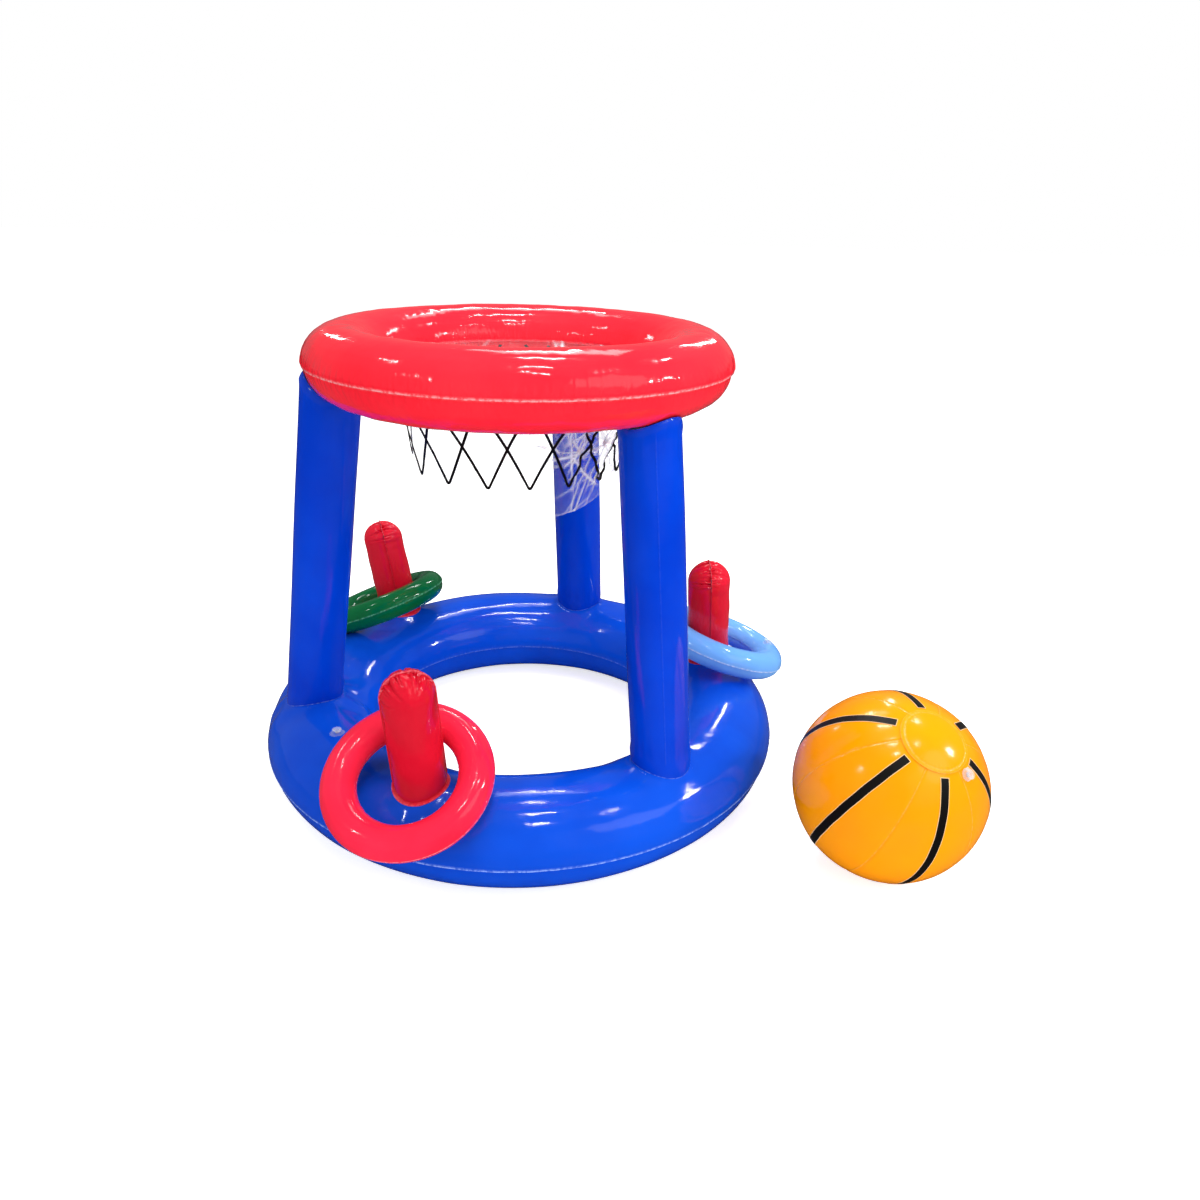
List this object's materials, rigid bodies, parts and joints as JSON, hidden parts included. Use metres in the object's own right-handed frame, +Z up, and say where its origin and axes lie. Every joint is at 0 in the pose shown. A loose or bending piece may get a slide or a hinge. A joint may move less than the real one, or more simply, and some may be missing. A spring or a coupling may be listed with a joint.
{
  "type": "floating basketball hoop",
  "caption": "Inflatable pool basketball hoop: ring base, leaning legs, hoop ring with a clear printed net skirt, pegs with loose toss rings, and a striped ball lying beside it.",
  "frame": {"origin": "middle of the footprint of the whole set, on the surface that it stands on", "axes": "+Z up; +X along the longest extent, from the hoop towards the ball; -Y is the front, where the picture was taken from"},
  "size_m": [0.8948, 0.7464, 0.6],
  "materials": {
    "blue_film": "smooth glossy vinyl film, blue",
    "red_film": "smooth glossy vinyl film, red",
    "green_film": "smooth glossy vinyl film, green",
    "light_blue_film": "smooth glossy vinyl film, light blue",
    "clear_film": "thin clear vinyl film",
    "black_print": "black printing ink on film",
    "orange_film": "satin vinyl film, orange",
    "valve_film": "milky clear soft vinyl"
  },
  "bodies": {
    "root": {"base_ring_bottom": "blue_film", "base_ring_top": "blue_film", "base_valve_stem": "valve_film", "hoop_ring_bottom": "red_film", "hoop_ring_top": "red_film", "hoop_valve_stem": "valve_film", "leg_back": "blue_film", "leg_front": "blue_film", "leg_left": "blue_film", "net_print": "black_print", "net_skirt": "clear_film", "peg_back_left_panel_1": "red_film", "peg_back_left_panel_2": "red_film", "peg_back_right_panel_1": "red_film", "peg_back_right_panel_2": "red_film", "peg_front_panel_1": "red_film", "peg_front_panel_2": "red_film"},
    "red_ring": {"red_ring_bottom": "red_film", "red_ring_top": "red_film", "red_ring_valve_stem": "valve_film"},
    "green_ring": {"green_ring_bottom": "green_film", "green_ring_top": "green_film", "green_ring_valve_stem": "valve_film"},
    "light_blue_ring": {"light_blue_ring_bottom": "light_blue_film", "light_blue_ring_top": "light_blue_film", "light_blue_ring_valve_stem": "valve_film"},
    "ball": {"ball_back_cap": "orange_film", "ball_front_cap": "orange_film", "ball_panel_1": "orange_film", "ball_panel_2": "orange_film", "ball_panel_3": "orange_film", "ball_panel_4": "orange_film", "ball_panel_5": "orange_film", "ball_panel_6": "orange_film", "ball_stripe_1": "black_print", "ball_stripe_2": "black_print", "ball_stripe_3": "black_print", "ball_stripe_4": "black_print", "ball_stripe_5": "black_print", "ball_stripe_6": "black_print", "ball_valve_stem": "valve_film"},
    "ball_valve_plug": {"ball_valve_plug": "valve_film"},
    "base_valve_plug": {"base_valve_plug": "valve_film"},
    "green_ring_valve_plug": {"green_ring_valve_plug": "valve_film"},
    "hoop_valve_plug": {"hoop_valve_plug": "valve_film"},
    "light_blue_ring_valve_plug": {"light_blue_ring_valve_plug": "valve_film"},
    "red_ring_valve_plug": {"red_ring_valve_plug": "valve_film"}
  },
  "joints": [
    {"name": "red_ring_lift", "type": "slide", "parent": "root", "child": "red_ring", "axis": [-0.0576, -0.0954, 0.9938], "range_m": [0, 0.19]},
    {"name": "green_ring_lift", "type": "slide", "parent": "root", "child": "green_ring", "axis": [-0.1743, 0.148, 0.9735], "range_m": [0, 0.19]},
    {"name": "light_blue_ring_lift", "type": "slide", "parent": "root", "child": "light_blue_ring", "axis": [-0.0648, -0.0508, 0.9966], "range_m": [0, 0.19]},
    {"name": "ball_lift", "type": "slide", "parent": "root", "child": "ball", "axis": [0, 0, 1], "range_m": [0, 0.5]},
    {"name": "base_valve_plug_pull", "type": "slide", "parent": "root", "child": "base_valve_plug", "axis": [0, 0, 1], "range_m": [0, 0.012]},
    {"name": "hoop_valve_plug_pull", "type": "slide", "parent": "root", "child": "hoop_valve_plug", "axis": [-0.1163, 0.6593, 0.7428], "range_m": [0, 0.012]},
    {"name": "red_ring_valve_plug_pull", "type": "slide", "parent": "red_ring", "child": "red_ring_valve_plug", "axis": [-0.1294, -0.483, 0.866], "range_m": [0, 0.012]},
    {"name": "green_ring_valve_plug_pull", "type": "slide", "parent": "green_ring", "child": "green_ring_valve_plug", "axis": [-0.3106, 0.2066, 0.9278], "range_m": [0, 0.012]},
    {"name": "light_blue_ring_valve_plug_pull", "type": "slide", "parent": "light_blue_ring", "child": "light_blue_ring_valve_plug", "axis": [0.087, 0.0852, 0.9926], "range_m": [0, 0.012]},
    {"name": "ball_valve_plug_pull", "type": "slide", "parent": "ball", "child": "ball_valve_plug", "axis": [0.4215, -0.6918, 0.5862], "range_m": [0, 0.012]}
  ]
}
